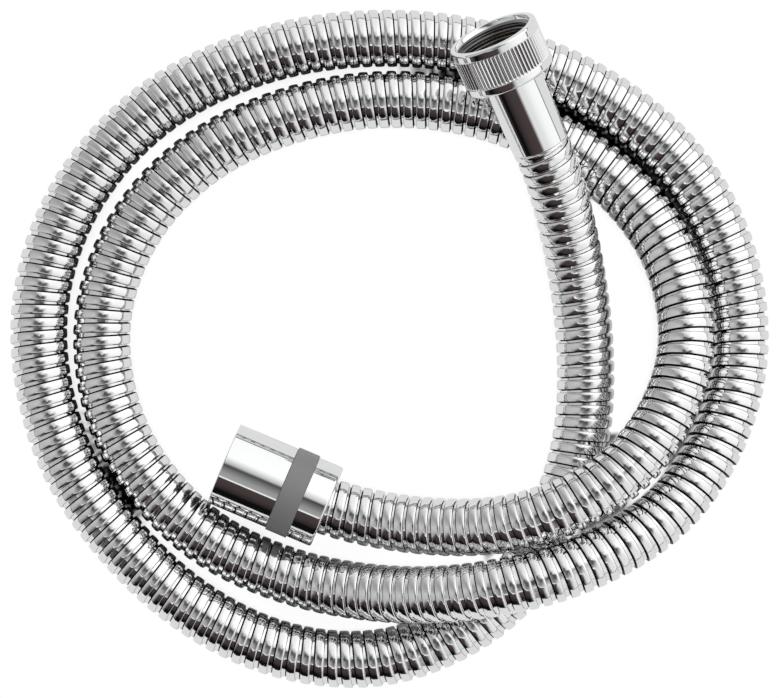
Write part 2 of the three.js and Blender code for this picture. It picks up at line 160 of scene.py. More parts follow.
# One turn of the strip, from the lip of the turn before: distance along the hose, and radius
LIP_SIDE = [(0.00000, 0.00763), (0.00016, 0.00640), (0.00042, 0.00686)]
CROWN_SIDE = [
    (0.00114, 0.00689), (0.00120, 0.00742), (0.00130, 0.00762), (0.00150, 0.00773), (0.00196, 0.00778),
    (0.00270, 0.00777), (0.00328, 0.00771),
]
# The first strips of faces after the lip are the slit, painted near black as shade, and the first lines
# of points are creases
PAINTED_SHADE_ROWS = 2
SHARP_ROWS = 4
TIGHTEST_SQUEEZE = 0.86


def frames_along(line, step):
    """At each point of the line: its direction, the level way to its left, the way up square to
    both, and how fast the direction turns to the left and upwards."""
    forward = np.gradient(line, step, axis=0)
    forward /= np.linalg.norm(forward, axis=1)[:, None]
    up = np.array([0.0, 0.0, 1.0]) - forward[:, 2:3] * forward
    up /= np.linalg.norm(up, axis=1)[:, None]
    left = np.cross(up, forward)
    turning = np.gradient(forward, step, axis=0)
    return forward, left, up, (turning * left).sum(1), (turning * up).sum(1)


def looked_up(values, place, step):
    """Values of a table at places along it, in a straight line between entries and beyond its ends."""
    index = np.clip(np.floor(place / step).astype(int), 0, len(values) - 2)
    share = place / step - index
    if values.ndim == 2:
        share = share[..., None]
    return values[index] * (1 - share) + values[index + 1] * share


def casing_mesh():
    """Vertex (k, j): k counts steps round the helix and j points across the strip. Its angle is a
    full turn every STEPS_AROUND steps and it moves one pitch along the line each turn. Distances
    across the strip are divided by how far a bend stretches the hose at that angle, so that the
    strip keeps its width and only the recess opens and closes. Point j = last of one turn is
    point 0 of the next. A plain bore closes the tube, and both cut ends are drawn in."""
    step = hose_length / (len(hose_line) - 1)
    forward, left, up, turn_left, turn_up = frames_along(hose_line, step)
    k = np.arange(-STEPS_AROUND, STRIP_TURNS * STEPS_AROUND + 1)
    angle = 2 * np.pi * k / STEPS_AROUND
    along = PITCH * k / STEPS_AROUND
    at = np.clip(along, 0.0, hose_length)
    bend = looked_up(turn_left, at, step) * np.cos(angle) + looked_up(turn_up, at, step) * np.sin(angle)
    stretch = np.maximum(1.0 - CROWN_SIDE[-1][1] * bend, TIGHTEST_SQUEEZE)[:, None]
    lip = np.array(LIP_SIDE)
    crown = np.array(CROWN_SIDE)
    place = np.hstack([
        along[:, None] + lip[:, 0] / stretch,
        along[:, None] + PITCH - (PITCH - crown[:, 0]) / stretch,
    ])
    radius = np.broadcast_to(np.concatenate([lip[:, 1], crown[:, 1]]), place.shape).copy()
    row = len(lip) + len(crown)

    def set_out(place, radius):
        inside = np.clip(place, STRIP_START, hose_length)
        beyond = np.abs(place - inside)
        drawn_in = np.clip((beyond - END_KEPT) / END_DRAWN_IN, 0.0, 1.0)
        radius = radius - np.maximum(radius - END_RADIUS, 0.0) * drawn_in
        place = inside + END_SQUEEZE * (place - inside)
        turn = angle if place.ndim == 1 else angle[:, None]
        centre = looked_up(hose_line, place, step)
        near = np.clip(place, 0.0, hose_length)
        side = looked_up(left, near, step) * np.cos(turn)[..., None]
        top = looked_up(up, near, step) * np.sin(turn)[..., None]
        return centre + radius[..., None] * (side + top)

    outside = set_out(place, radius)
    bore = set_out(along, np.full(along.shape, CASING_BORE))
    count = len(k)
    turns_end = count - STEPS_AROUND
    vertices = np.vstack([outside.reshape(-1, 3), bore])
    number = np.arange(count * row).reshape(count, row)
    across = np.hstack([number[:turns_end], number[STEPS_AROUND:, :1]])
    skin = np.stack([across[:-1, :-1], across[1:, :-1], across[1:, 1:], across[:-1, 1:]], axis=-1)
    inner = count * row + np.arange(count)
    wall = np.stack([
        inner[:turns_end - 1], inner[STEPS_AROUND:-1], inner[STEPS_AROUND + 1:], inner[1:turns_end],
    ], axis=-1)
    loop = np.arange(STEPS_AROUND)
    start = np.stack([number[loop, 0], inner[loop], inner[loop + 1], number[loop + 1, 0]], axis=-1)
    tail = turns_end - 1 + loop
    end = np.stack([number[tail, 0], number[tail + 1, 0], inner[tail + 1], inner[tail]], axis=-1)
    quads = np.vstack([skin.reshape(-1, 4), wall, start, end])
    first_seam = [*across[0], inner[STEPS_AROUND], inner[0]]
    last_seam = [*across[-1][::-1], inner[turns_end - 1], inner[count - 1]]
    painted_shade_faces = np.zeros(len(quads), dtype=bool)
    # Faces in the first rows after each lip take the slit's painted shade
    painted_shade_faces[:skin.size // 4] = (np.arange(skin.size // 4) % row) < PAINTED_SHADE_ROWS
    return vertices, quads, [first_seam, last_seam], painted_shade_faces, number


def mesh_object(name, vertices, faces):
    """A smooth-shaded mesh object from arrays of points and of faces, in place, at the origin."""
    mesh = bpy.data.meshes.new(name)
    mesh.from_pydata(vertices.tolist(), [], faces)
    mesh.validate()
    mesh.shade_smooth()
    thing = bpy.data.objects.new(name, mesh)
    bpy.context.scene.collection.objects.link(thing)
    return thing


def new_material(name):
    """An empty node material with its Principled shader: (material, nodes, links, shader)."""
    material = bpy.data.materials.new(name)
    material.use_nodes = True
    tree = material.node_tree
    return material, tree.nodes, tree.links, tree.nodes["Principled BSDF"]


RELIEF_DETAIL = 2.0
USUAL_NOISE = (0.3, 0.7)


def fine_relief(tree_nodes, tree_links, shader, source, scale, depth, roughness):
    """Soft unevenness: a noise in the source's coordinates lifts the surface by up to the depth,
    and moves the roughness between the two values given."""
    noise = tree_nodes.new("ShaderNodeTexNoise")
    noise.inputs["Scale"].default_value = scale
    noise.inputs["Detail"].default_value = RELIEF_DETAIL
    tree_links.new(source, noise.inputs["Vector"])
    bump = tree_nodes.new("ShaderNodeBump")
    bump.inputs["Distance"].default_value = depth
    bump.inputs["Strength"].default_value = 1.0
    tree_links.new(noise.outputs["Fac"], bump.inputs["Height"])
    tree_links.new(bump.outputs["Normal"], shader.inputs["Normal"])
    spread = tree_nodes.new("ShaderNodeMapRange")
    spread.inputs["From Min"].default_value, spread.inputs["From Max"].default_value = USUAL_NOISE
    spread.inputs["To Min"].default_value, spread.inputs["To Max"].default_value = roughness
    tree_links.new(noise.outputs["Fac"], spread.inputs["Value"])
    tree_links.new(spread.outputs["Result"], shader.inputs["Roughness"])


def chromed_strip_material():
    """Bright chrome on rolled strip: nearly a mirror, with a slight waviness from the rollers."""
    material, made, links, shader = new_material("chromed_strip")
    shader.inputs["Base Color"].default_value = (0.90, 0.90, 0.905, 1.0)
    shader.inputs["Metallic"].default_value = 1.0
    place = made.new("ShaderNodeTexCoord")
    source = place.outputs["Object"]
    fine_relief(made, links, shader, source, scale=520.0, depth=0.00007, roughness=(0.04, 0.12))
    return material


def slit_painted_shade_material():
    """The slit under each lip, where the strip hooks into itself: painted shade, a near-black dull metal
    that stands in for the shadow inside the slit.
    """
    material, made, links, shader = new_material("strip_slit_painted_shade")
    # Painted shade: this near-black colour stands in for the shadow inside the slit
    shader.inputs["Base Color"].default_value = (0.015, 0.015, 0.015, 1.0)
    shader.inputs["Metallic"].default_value = 0.6
    place = made.new("ShaderNodeTexCoord")
    source = place.outputs["Object"]
    fine_relief(made, links, shader, source, scale=900.0, depth=0.00002, roughness=(0.45, 0.65))
    return material


points, quads, seams, painted_shade_faces, number = casing_mesh()
casing = mesh_object("spiral_casing_strip", points, quads.tolist() + seams)
casing.data.materials.append(chromed_strip_material())
casing.data.materials.append(slit_painted_shade_material())
slots = np.zeros(len(casing.data.polygons), dtype=np.int32)
# The slit's faces get the painted shade material
slots[:len(painted_shade_faces)][painted_shade_faces] = 1
casing.data.polygons.foreach_set("material_index", slots)
ends_of_edges = np.empty(2 * len(casing.data.edges), dtype=np.int32)
casing.data.edges.foreach_get("vertices", ends_of_edges)
point_in_row = np.where(np.arange(len(points)) < number.size, np.arange(len(points)) % number.shape[1], 0)
same_row = point_in_row[ends_of_edges[::2]] == point_in_row[ends_of_edges[1::2]]
crisp = same_row & (point_in_row[ends_of_edges[::2]] < SHARP_ROWS)
casing.data.attributes.new("sharp_edge", "BOOLEAN", "EDGE").data.foreach_set("value", crisp)
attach(casing, "hose")
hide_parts("spiral_casing")

# Inner tube
# The rubber tube that carries the water, drawn loose through the casing and pushed over the barbs
# of both stems. It is seen only through the stems' bores.
def matt_material(name, colour, roughness, grain, depth):
    """A matt material of one colour, with a fine grain that lifts the surface by up to the depth."""
    material, made, links, shader = new_material(name)
    shader.inputs["Base Color"].default_value = (*colour, 1.0)
    place = made.new("ShaderNodeTexCoord")
    fine_relief(made, links, shader, place.outputs["Object"], grain, depth, roughness)
    return material


def refinish(name, material):
    """A piece whose turned shape is right as it is gets its finish."""
    nodes[name].data.materials.clear()
    nodes[name].data.materials.append(material)


liner_rubber = matt_material(
    "liner_rubber", colour=(0.05, 0.05, 0.055), roughness=(0.55, 0.75), grain=700.0, depth=0.00003,
)
refinish("inner_tube", liner_rubber)

# Knurled end's stem and clamp ring
# A turned brass stem with a flange for the seal in front and barbs for the tube behind. The tube is
# pushed over the barbs and the steel ring is pressed down round it.
FLANGE_RADIUS, FLANGE_FACE, FLANGE_BACK = 0.0090, 0.0090, 0.0102
COLLAR_RADIUS, COLLAR_END = 0.0057, 0.0154
TUBE_STOP_RADIUS, BARBS_START = 0.0044, 0.0182
BARB_ROOT, BARB_RIDGE, BARB_COUNT, BARB_PITCH, BARB_RISE = 0.0032, 0.0036, 4, 0.0031, 0.0004
STEM_TIP_RADIUS, STEM_TIP = 0.0030, 0.0312
WATERWAY, WATERWAY_START = 0.0024, 0.0135
FUNNEL_MOUTH, FUNNEL_START = 0.0046, 0.0108
# Roundings: a plain turned edge, an eased one, and the blend inside a waterway
EDGE, EASED_EDGE, INSIDE_BLEND = 0.0001, 0.0002, 0.0003
CORNER_STEPS = 5
LARGEST_ROUNDING, LARGEST_SUPPORT = 0.45, 0.1
SUPPORT = 0.00003
TURNED_FACETS = 64


def rounded_section(corners):
    """A closed section with its corners rounded. Each corner is (radius, distance from the mouth,
    size of rounding): the rounding becomes an arc of a few points with a support point on each
    side, so that the flats beside it stay flat when shaded smooth."""
    points = []
    corners = np.array(corners, dtype=float)
    for i, (r, a, size) in enumerate(corners):
        here = np.array([r, a])
        back = corners[i - 1][:2] - here
        ahead = corners[(i + 1) % len(corners)][:2] - here
        room = LARGEST_ROUNDING * min(np.linalg.norm(back), np.linalg.norm(ahead))
        back /= np.linalg.norm(back)
        ahead /= np.linalg.norm(ahead)
        cut = min(size, room)
        hold = min(SUPPORT, LARGEST_SUPPORT * room)
        t = np.linspace(0.0, 1.0, CORNER_STEPS)[:, None]
        leg_in, leg_out = here + back * cut, here + ahead * cut
        arc = leg_in * (1 - t) ** 2 + here * 2 * t * (1 - t) + leg_out * t ** 2
        points += [here + back * (cut + hold), *arc, here + ahead * (cut + hold)]
    return np.array(points)


def across_axis(axis):
    """Two unit vectors square to an axis and to each other."""
    first = np.cross(axis, [0.0, 0.0, 1.0])
    first /= np.linalg.norm(first)
    return first, np.cross(axis, first)


def turned_points(radius, along, angle, mouth, axis):
    """Points at a radius from an axis, a distance from the mouth along it, turned by an angle."""
    first, second = across_axis(axis)
    ring = np.cos(angle)[..., None] * first + np.sin(angle)[..., None] * second
    return mouth + along[..., None] * axis + radius[..., None] * ring


def ring_faces(rows, columns):
    """Four-sided faces of a grid that closes on itself both ways."""
    number = np.arange(rows * columns).reshape(rows, columns)
    right = np.roll(number, -1, axis=1)
    above = np.roll(number, -1, axis=0)
    return np.stack([number, right, np.roll(right, -1, axis=0), above], axis=-1).reshape(-1, 4)


def turned_piece(name, corners, mouth, axis, facets):
    """The rounded section carried once round the axis."""
    section = rounded_section(corners)
    angle = 2 * np.pi * np.arange(facets) / facets
    radius = np.repeat(section[:, :1], facets, axis=1)
    along = np.repeat(section[:, 1:], facets, axis=1)
    points = turned_points(radius, along, np.broadcast_to(angle, radius.shape), mouth, axis)
    return mesh_object(name, points.reshape(-1, 3), ring_faces(*radius.shape).tolist())


def metal_material(name, colour, roughness, grain, depth):
    """A bare metal with fine tool marks: a noise lifts the surface and varies its polish."""
    material, made, links, shader = new_material(name)
    shader.inputs["Base Color"].default_value = (*colour, 1.0)
    shader.inputs["Metallic"].default_value = 1.0
    place = made.new("ShaderNodeTexCoord")
    fine_relief(made, links, shader, place.outputs["Object"], grain, depth, roughness)
    return material


brass = metal_material(
    "turned_brass", colour=(0.72, 0.55, 0.27), roughness=(0.22, 0.38), grain=600.0, depth=0.00002,
)
spring_steel = metal_material(
    "spring_steel", colour=(0.56, 0.57, 0.58), roughness=(0.25, 0.40), grain=800.0, depth=0.00001,
)


def barbs(root, ridge, start, count, pitch):
    """Saw-toothed corners for gripping the tube: a steep rise and a long slope, again and again."""
    starts = [start + i * pitch for i in range(count)]
    return [corner for a in starts for corner in ((root, a, EDGE), (ridge, a + BARB_RISE, EDGE))]


knurled_stem = turned_piece("knurled_barbed_stem", [
    (FUNNEL_MOUTH, FLANGE_FACE, EASED_EDGE),
    (FLANGE_RADIUS, FLANGE_FACE, EASED_EDGE),
    (FLANGE_RADIUS, FLANGE_BACK, EASED_EDGE),
    (COLLAR_RADIUS, FLANGE_BACK, EDGE),
    (COLLAR_RADIUS, COLLAR_END, EASED_EDGE),
    (TUBE_STOP_RADIUS, COLLAR_END, EDGE),
    (TUBE_STOP_RADIUS, BARBS_START, EDGE),
    *barbs(BARB_ROOT, BARB_RIDGE, BARBS_START, BARB_COUNT, BARB_PITCH),
    (STEM_TIP_RADIUS, STEM_TIP, EDGE),
    (WATERWAY, STEM_TIP, EDGE),
    (WATERWAY, WATERWAY_START, INSIDE_BLEND),
    (FUNNEL_MOUTH, FUNNEL_START, INSIDE_BLEND),
], KNURLED_MOUTH, knurled_axis, TURNED_FACETS)
knurled_stem.data.materials.append(brass)
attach(knurled_stem, "hose")
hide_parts("knurled_end_stem")
refinish("knurled_end_clamp_ring", spring_steel)

# Sleeve
# A plain drawn sleeve, chromed and closed at the front, slipped over the end of the casing and
# crimped on. It tapers very slightly to the size of the hose.
SLEEVE_START, SLEEVE_FLOOR = 0.0134, 0.0149
SLEEVE_FRONT, SLEEVE_BACK = 0.0080, 0.0078
SLEEVE_HOLE, SLEEVE_INSIDE = 0.0060, 0.0070
SLEEVE_SHOULDER = 0.0005
SLEEVE_FACETS = 128


def chrome_material():
    """Polished chrome plate on brass: a clean mirror with the faintest unevenness."""
    material, made, links, shader = new_material("polished_chrome")
    shader.inputs["Base Color"].default_value = (0.90, 0.905, 0.91, 1.0)
    shader.inputs["Metallic"].default_value = 1.0
    place = made.new("ShaderNodeTexCoord")
    source = place.outputs["Object"]
    fine_relief(made, links, shader, source, scale=160.0, depth=0.00001, roughness=(0.03, 0.07))
    return material


chrome = chrome_material()
sleeve = turned_piece("crimped_sleeve", [
    (SLEEVE_HOLE, SLEEVE_START, EDGE),
    (SLEEVE_FRONT, SLEEVE_START, SLEEVE_SHOULDER),
    (SLEEVE_BACK, SLEEVE_END, EASED_EDGE),
    (SLEEVE_INSIDE, SLEEVE_END, EDGE),
    (SLEEVE_INSIDE, SLEEVE_FLOOR, EASED_EDGE),
    (SLEEVE_HOLE, SLEEVE_FLOOR, EDGE),
], KNURLED_MOUTH, knurled_axis, SLEEVE_FACETS)
sleeve.data.materials.append(chrome)
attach(sleeve, "hose")
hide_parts("knurled_end_sleeve")

# Knurled union nut
# Turned and chromed brass with a half-inch parallel pipe thread. A band of fine flutes is rolled
# between two plain rounded bands, so that it can be screwed up by hand. It hangs loose on its stem.
NUT_RADIUS = 0.01225
NUT_LENGTH = 0.0130
KNURL_START, KNURL_END = 0.0024, 0.0106
KNURL_DEPTH = 0.00042
FLUTES = 68
STEPS_PER_FLUTE = 8
MOUTH_RADIUS = 0.0106
THREAD_MINOR, THREAD_DEPTH, THREAD_PITCH = 0.00932, 0.00112, 0.001814
THREAD_END = 0.0108
ROWS_PER_THREAD = 12
CREST_FULLNESS = 0.8
MOUTH_DEPTH, MOUTH_SLOPE = 0.0012, 1.7
NUT_SHOULDER = 0.0114
NUT_NECK = 0.0061
FRONT_ROUNDING, BACK_ROUNDING = 0.0008, 0.0009
# The knurled band is a hair smaller than the plain ones, with a short ramp and a crease at each side
KNURL_DROP, KNURL_RAMP, KNURL_RIM = 0.00006, 0.0001, 0.0004
RAMP_ROUNDING, CREASE = 0.00005, 0.00003
# A groove between two crests: how much wider it is than they are, how full, and where it fades out
GROOVE_SPREAD, GROOVE_FULLNESS, GROOVE_FADE = 0.3, 0.8, 0.0003
OUTSIDE_LAYER = 0.0006


def threaded(radius, along, angle, start, end):
    """The bore's radius with a right-hand thread cut in it: a rounded ridge that moves one pitch
    along the bore each turn and dies away at the end."""
    turn = along / THREAD_PITCH - angle / (2 * np.pi)
    ridge = THREAD_MINOR + THREAD_DEPTH * (0.5 + 0.5 * np.cos(2 * np.pi * turn)) ** CREST_FULLNESS
    lead_in = MOUTH_RADIUS - (along - MOUTH_DEPTH) * MOUTH_SLOPE
    share = np.clip((end - along) / THREAD_PITCH, 0.0, 1.0) * (along > start)
    return np.where(share > 0, np.maximum(ridge * share + radius * (1 - share), lead_in), radius)


def threaded_nut_mesh(name, corners, thread_end, facets, mouth, axis, flutes=None):
    """A turned piece whose bore is cut in fine steps and threaded, and whose outside may be fluted:
    a narrowing groove between rounded crests, fading out at both ends of the knurl."""
    section = rounded_section(corners)
    bore = np.arange(thread_end, MOUTH_DEPTH, -THREAD_PITCH / ROWS_PER_THREAD)
    section = np.vstack([section, np.stack([np.full(len(bore), THREAD_MINOR), bore], axis=1)])
    angle = np.broadcast_to(2 * np.pi * np.arange(facets) / facets, (len(section), facets))
    radius = np.repeat(section[:, :1], facets, axis=1)
    along = np.repeat(section[:, 1:], facets, axis=1)
    in_bore = np.zeros(len(section), dtype=bool)
    in_bore[-len(bore):] = True
    cut = threaded(radius, along, angle, MOUTH_DEPTH, thread_end)
    radius = np.where(in_bore[:, None], cut, radius)
    if flutes:
        wave = (np.cos(flutes * angle) + GROOVE_SPREAD) / (1 + GROOVE_SPREAD)
        groove = np.clip(wave, 0.0, 1.0) ** GROOVE_FULLNESS
        ends = np.clip(np.minimum(along - KNURL_START, KNURL_END - along) / GROOVE_FADE, 0.0, 1.0)
        outer = radius > NUT_RADIUS - OUTSIDE_LAYER
        radius = radius - np.where(outer, KNURL_DEPTH * groove * ends, 0.0)
    points = turned_points(radius, along, angle, mouth, axis)
    return mesh_object(name, points.reshape(-1, 3), ring_faces(*radius.shape).tolist())


bare_bore = metal_material(
    "bare_bore", colour=(0.24, 0.235, 0.23), roughness=(0.22, 0.38), grain=500.0, depth=0.00002,
)
DULL_FLUTE = (1.3, 0.75)


def finish_nut(nut, mouth, axis, fluted=False):
    """Chrome outside, and dull bare metal where the plating is thin: inside the threaded bore and
    at the bottom of the flutes, between two shares of their depth."""
    nut.data.materials.append(chrome)
    nut.data.materials.append(bare_bore)
    centres = np.empty(3 * len(nut.data.polygons))
    nut.data.polygons.foreach_get("center", centres)
    from_mouth = centres.reshape(-1, 3) - mouth
    along = from_mouth @ axis
    radius = np.linalg.norm(from_mouth - along[:, None] * axis, axis=1)
    dull = (radius < THREAD_MINOR + THREAD_DEPTH + EDGE) & (along > MOUTH_DEPTH) & (along < NUT_SHOULDER)
    if fluted:
        knurl = (along > KNURL_START + GROOVE_FADE) & (along < KNURL_END - GROOVE_FADE)
        deepest, shallowest = (NUT_RADIUS - share * KNURL_DEPTH for share in DULL_FLUTE)
        dull |= knurl & (radius > deepest) & (radius < shallowest)
    nut.data.polygons.foreach_set("material_index", dull.astype(np.int32))


nut_corners = [
    (MOUTH_RADIUS + EDGE, 0.0, EDGE),
    (NUT_RADIUS, 0.0, FRONT_ROUNDING),
    (NUT_RADIUS, KNURL_START - KNURL_RAMP, RAMP_ROUNDING),
    (NUT_RADIUS - KNURL_DROP, KNURL_START, CREASE),
    (NUT_RADIUS - KNURL_DROP, KNURL_START + KNURL_RIM, CREASE),
    (NUT_RADIUS - KNURL_DROP, KNURL_END - KNURL_RIM, CREASE),
    (NUT_RADIUS - KNURL_DROP, KNURL_END, CREASE),
    (NUT_RADIUS, KNURL_END + KNURL_RAMP, RAMP_ROUNDING),
    (NUT_RADIUS, NUT_LENGTH, BACK_ROUNDING),
    (NUT_NECK, NUT_LENGTH, EDGE),
    (NUT_NECK, NUT_SHOULDER, EDGE),
    (THREAD_MINOR, NUT_SHOULDER, EDGE),
]
knurled_nut = threaded_nut_mesh(
    "knurled_union_nut", nut_corners, THREAD_END, FLUTES * STEPS_PER_FLUTE, KNURLED_MOUTH, knurled_axis,
    FLUTES,
)
finish_nut(knurled_nut, KNURLED_MOUTH, knurled_axis, fluted=True)
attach(knurled_nut, "knurled_coupling")
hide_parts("knurled_nut")

# Seals and slide rings
# A flat black rubber seal lies in each nut's bore and is squeezed against the outlet. A thin nylon
# ring behind each flange lets the nut turn while it is tightened.
SEAL_RADIUS = 0.0090
SEAL_ROUNDING = 0.0003
SEAL_FACETS = 72
# Each seal: its node, its body, the radius of its hole, and how far from the mouth it starts and ends
SEALS = [
    ("knurled_nut_washer", "knurled_coupling", 0.0055, 0.0069, 0.0087, KNURLED_MOUTH, knurled_axis),
    ("swivel_nut_washer", "swivel_coupling", 0.0056, 0.0072, 0.0092, SWIVEL_MOUTH, swivel_axis),
]

black_rubber = matt_material(
    "black_rubber", colour=(0.022, 0.022, 0.023), roughness=(0.6, 0.85), grain=900.0, depth=0.00003,
)
nylon = matt_material(
    "nylon", colour=(0.78, 0.76, 0.70), roughness=(0.4, 0.55), grain=500.0, depth=0.00001,
)
for name, body, hole, start, end, mouth, axis in SEALS:
    seal = turned_piece(name.replace("washer", "seal"), [
        (hole, start, EASED_EDGE), (SEAL_RADIUS, start, SEAL_ROUNDING),
        (SEAL_RADIUS, end, SEAL_ROUNDING), (hole, end, EASED_EDGE),
    ], mouth, axis, SEAL_FACETS)
    seal.data.materials.append(black_rubber)
    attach(seal, body)
    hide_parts(name)
refinish("knurled_slide_ring", nylon)
refinish("swivel_slide_ring", nylon)

# Swivel end's stem, seals, bush and clip
# The hose's second stem turns in a flanged brass bush, sealed by two rubber rings in its grooves
# and kept in by a spring clip, so that the hose can't be twisted up by the nut.
HEAD_RADIUS, HEAD_START, HEAD_END = 0.0056, 0.0097, 0.0109
BEARING_RADIUS, BEARING_END = 0.0046, 0.0226
SEAL_GROOVE_RADIUS, SEAL_GROOVES = 0.0034, ((0.0126, 0.0142), (0.0158, 0.0174))
CLIP_GROOVE_RADIUS, CLIP_GROOVE = 0.0039, (0.0202, 0.0212)
SWIVEL_BARB_ROOT, SWIVEL_BARB_RIDGE, SWIVEL_BARB_COUNT, SWIVEL_BARB_PITCH = 0.0028, 0.0031, 3, 0.0021
SWIVEL_TIP_RADIUS, SWIVEL_TIP = 0.0026, 0.0294
SWIVEL_WATERWAY = 0.0021
BUSH_FACE, BUSH_FLANGE_BACK, BUSH_END = 0.0095, 0.0110, 0.0200
BUSH_RADIUS, BUSH_BORE = 0.0073, 0.0049
HEAD_SEAT_RADIUS, HEAD_SEAT_END = 0.0059, 0.0113


def turned_groove(shaft, floor, start, end):
    """The four corners of a square groove in a shaft."""
    return [(shaft, start, EDGE), (floor, start, EDGE), (floor, end, EDGE), (shaft, end, EDGE)]


swivel_stem = turned_piece("swivel_barbed_stem", [
    (SWIVEL_WATERWAY, HEAD_START, EASED_EDGE),
    (HEAD_RADIUS, HEAD_START, EDGE),
    (HEAD_RADIUS, HEAD_END, EDGE),
    (BEARING_RADIUS, HEAD_END, EDGE),
    *turned_groove(BEARING_RADIUS, SEAL_GROOVE_RADIUS, *SEAL_GROOVES[0]),
    *turned_groove(BEARING_RADIUS, SEAL_GROOVE_RADIUS, *SEAL_GROOVES[1]),
    *turned_groove(BEARING_RADIUS, CLIP_GROOVE_RADIUS, *CLIP_GROOVE),
    (BEARING_RADIUS, BEARING_END, EDGE),
    *barbs(SWIVEL_BARB_ROOT, SWIVEL_BARB_RIDGE, BEARING_END, SWIVEL_BARB_COUNT, SWIVEL_BARB_PITCH),
    (SWIVEL_TIP_RADIUS, SWIVEL_TIP, EDGE),
    (SWIVEL_WATERWAY, SWIVEL_TIP, EDGE),
], SWIVEL_MOUTH, swivel_axis, TURNED_FACETS)
bush = turned_piece("anti_twist_sleeve", [
    (HEAD_SEAT_RADIUS, BUSH_FACE, EDGE),
    (FLANGE_RADIUS, BUSH_FACE, EASED_EDGE),
    (FLANGE_RADIUS, BUSH_FLANGE_BACK, EASED_EDGE),
    (BUSH_RADIUS, BUSH_FLANGE_BACK, EDGE),
    (BUSH_RADIUS, BUSH_END, EASED_EDGE),
    (BUSH_BORE, BUSH_END, EDGE),
    (BUSH_BORE, HEAD_SEAT_END, EDGE),
    (HEAD_SEAT_RADIUS, HEAD_SEAT_END, EDGE),
], SWIVEL_MOUTH, swivel_axis, TURNED_FACETS)
for piece, body, node in (
    (swivel_stem, "hose", "swivel_stem"), (bush, "anti_twist_bush", "swivel_bush"),
):
    piece.data.materials.append(brass)
    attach(piece, body)
    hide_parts(node)
refinish("swivel_o_ring_front", black_rubber)
refinish("swivel_o_ring_rear", black_rubber)
refinish("swivel_retaining_clip", spring_steel)

# Ferrule
# A drawn and chromed cup on the stem, behind the clip. Its rim stands round the end of the casing and
# holds it inside the nut's skirt.
FERRULE_START, FERRULE_FLOOR, FERRULE_END = 0.0214, 0.0224, 0.0286
FERRULE_RADIUS, FERRULE_INSIDE, FERRULE_HOLE = 0.0091, 0.00835, 0.0049
FERRULE_FACETS = 96

ferrule = turned_piece("casing_ferrule", [
    (FERRULE_HOLE, FERRULE_START, EDGE),
    (FERRULE_RADIUS, FERRULE_START, EASED_EDGE),
    (FERRULE_RADIUS, FERRULE_END, EASED_EDGE),
    (FERRULE_INSIDE, FERRULE_END, EASED_EDGE),
    (FERRULE_INSIDE, FERRULE_FLOOR, EASED_EDGE),
    (FERRULE_HOLE, FERRULE_FLOOR, EDGE),
], SWIVEL_MOUTH, swivel_axis, FERRULE_FACETS)
ferrule.data.materials.append(chrome)
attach(ferrule, "hose")
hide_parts("swivel_end_ferrule")

# Swivel nut
# A smooth turned and chromed nut with the same thread. A web inside it pulls on the bush's flange,
# and its long skirt hides the ferrule. The grip band sits in a groove round it.
SWIVEL_NUT_RADIUS = 0.0115
SWIVEL_NUT_LENGTH = 0.0302
BAND_START, BAND_END = 0.0170, 0.0232
BAND_SEAT = 0.0109
SKIRT_BORE = 0.0099
WEB_START, WEB_END, WEB_HOLE = 0.0122, 0.0138, 0.0077
SWIVEL_THREAD_END = 0.0110
SWIVEL_MOUTH_ROUNDING = 0.00025
SWIVEL_NUT_FACETS = 192

swivel_corners = [
    (MOUTH_RADIUS + EDGE, 0.0, EDGE),
    (SWIVEL_NUT_RADIUS, 0.0, SWIVEL_MOUTH_ROUNDING),
    (SWIVEL_NUT_RADIUS, BAND_START, EDGE),
    (BAND_SEAT, BAND_START, EDGE),
    (BAND_SEAT, BAND_END, EDGE),
    (SWIVEL_NUT_RADIUS, BAND_END, EDGE),
    (SWIVEL_NUT_RADIUS, SWIVEL_NUT_LENGTH, BACK_ROUNDING),
    (SKIRT_BORE, SWIVEL_NUT_LENGTH, EASED_EDGE),
    (SKIRT_BORE, WEB_END, EASED_EDGE),
    (WEB_HOLE, WEB_END, EDGE),
    (WEB_HOLE, WEB_START, EDGE),
    (THREAD_MINOR, WEB_START, EDGE),
]
swivel_nut = threaded_nut_mesh(
    "swivel_union_nut", swivel_corners, SWIVEL_THREAD_END, SWIVEL_NUT_FACETS, SWIVEL_MOUTH, swivel_axis,
)
finish_nut(swivel_nut, SWIVEL_MOUTH, swivel_axis)
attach(swivel_nut, "swivel_coupling")
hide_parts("swivel_nut")

# Grip band
# A matt grey elastomer band stretched into the nut's groove. It stands half a millimetre proud, so
# that wet fingers can turn the nut.
BAND_RADIUS = 0.0120
BAND_INSIDE = 0.0112
BAND_PLAY = 0.00005
BAND_FACETS = 160

grey_grip = matt_material(
    "grey_grip", colour=(0.30, 0.30, 0.30), roughness=(0.45, 0.60), grain=800.0, depth=0.00002,
)
band = turned_piece("grip_ring", [
    (BAND_INSIDE, BAND_START + BAND_PLAY, EDGE),
    (BAND_RADIUS, BAND_START + BAND_PLAY, EASED_EDGE),
    (BAND_RADIUS, BAND_END - BAND_PLAY, EASED_EDGE),
    (BAND_INSIDE, BAND_END - BAND_PLAY, EDGE),
], SWIVEL_MOUTH, swivel_axis, BAND_FACETS)
band.data.materials.append(grey_grip)
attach(band, "swivel_coupling")
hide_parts("grip_band")

# Studio
# A white sweep under a white light tent, as such fittings are photographed. The lens shows as a
# grey spot overhead, and the tent is open to a dark room on the near side.
HALF_FLOOR = 3.0
SHADED_HALF_WIDTH, SHADED_HALF_DEPTH = 0.112, 0.100
SHADED_STEP = 0.00125
LINE_THINNED = 4
SAME_STRAND = 0.030
FAR_AWAY = 1.0
TINY = 1e-12
